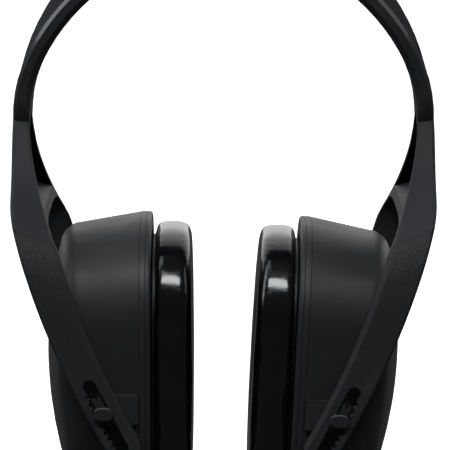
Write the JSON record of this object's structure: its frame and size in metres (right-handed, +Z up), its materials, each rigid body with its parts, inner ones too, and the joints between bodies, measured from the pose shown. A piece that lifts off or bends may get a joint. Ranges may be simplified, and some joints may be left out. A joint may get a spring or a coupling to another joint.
{
  "type": "hearing protection earmuffs",
  "caption": "Over-the-head hearing protection earmuffs with a forked moulded headband, ratchet-slot height adjustment and tilting cups with soft ear cushions.",
  "frame": {"origin": "middle of the bounding box in X and Y, at the height of the lowest point of the cups", "axes": "+X from the wearer-left cup of the picture to the other cup, across the head; -Y is the front side that is seen; +Z up to the crown of the headband"},
  "size_m": [0.1388, 0.0928, 0.2019],
  "materials": {
    "band_plastic": "satin black with a fine moulded grain",
    "cup_plastic": "satin black, smooth moulding",
    "plate_plastic": "satin black",
    "carrier_plastic": "matt black",
    "stud_plastic": "satin black",
    "slider_plastic": "satin black",
    "cushion_vinyl": "smooth glossy black vinyl",
    "liner_foam": "open-cell dark grey foam"
  },
  "bodies": {
    "headband": {"headband": "band_plastic"},
    "left_slider": {"left_front_slider": "slider_plastic", "left_rear_slider": "slider_plastic"},
    "left_cup": {"left_cup_shell": "cup_plastic", "left_rim_ring": "cup_plastic", "left_back_plate": "cup_plastic", "left_cushion_plate": "carrier_plastic", "left_cushion": "cushion_vinyl", "left_foam_liner": "liner_foam", "left_front_stud": "stud_plastic", "left_rear_stud": "stud_plastic", "left_front_pivot_plate": "plate_plastic", "left_rear_pivot_plate": "plate_plastic"},
    "right_slider": {"right_front_slider": "slider_plastic", "right_rear_slider": "slider_plastic"},
    "right_cup": {"right_cup_shell": "cup_plastic", "right_rim_ring": "cup_plastic", "right_back_plate": "cup_plastic", "right_cushion_plate": "carrier_plastic", "right_cushion": "cushion_vinyl", "right_foam_liner": "liner_foam", "right_front_stud": "stud_plastic", "right_rear_stud": "stud_plastic", "right_front_pivot_plate": "plate_plastic", "right_rear_pivot_plate": "plate_plastic"}
  },
  "joints": [
    {"name": "left_height", "type": "slide", "parent": "headband", "child": "left_slider", "axis": [0.454, 0, -0.891], "range_m": [-0.0052, 0.0104]},
    {"name": "left_tilt", "type": "hinge", "parent": "left_slider", "child": "left_cup", "pos_m": [-0.03875, 0, 0.0412], "axis": [0, -1, 0], "range_deg": [-5, 7]},
    {"name": "right_height", "type": "slide", "parent": "headband", "child": "right_slider", "axis": [-0.454, 0, -0.891], "range_m": [-0.0052, 0.0104]},
    {"name": "right_tilt", "type": "hinge", "parent": "right_slider", "child": "right_cup", "pos_m": [0.03757, 0, 0.03888], "axis": [0, 1, 0], "range_deg": [-8, 4]}
  ]
}
